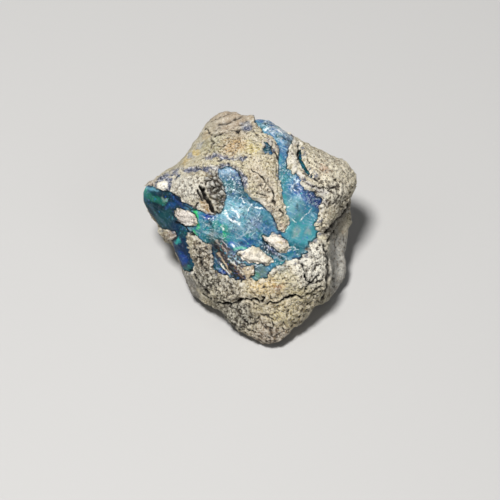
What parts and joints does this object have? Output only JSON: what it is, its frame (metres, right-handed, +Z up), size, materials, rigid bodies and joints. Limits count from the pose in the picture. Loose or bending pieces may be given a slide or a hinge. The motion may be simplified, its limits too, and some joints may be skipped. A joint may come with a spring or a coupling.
{
  "type": "rough fire opal",
  "caption": "Rough lump of host rock with a sheet of blue-green precious opal bared in one face, lying on a flat break.",
  "frame": {"origin": "middle of the flat break that the stone lies on, straight below the middle of the bared opal face", "axes": "+Z up, square to the flat break; the bared opal face looks towards -Y and up; +X to the right as seen from that side"},
  "size_m": [0.0406, 0.0404, 0.0275],
  "materials": {
    "host_rock": "dry, grainy broken rock with brown and grey stains and dark specks",
    "opal": "glossy, slightly translucent opal with blue and green play of colour"
  },
  "bodies": {
    "root": {"host_rock": "host_rock", "opal": "opal"}
  },
  "joints": []
}
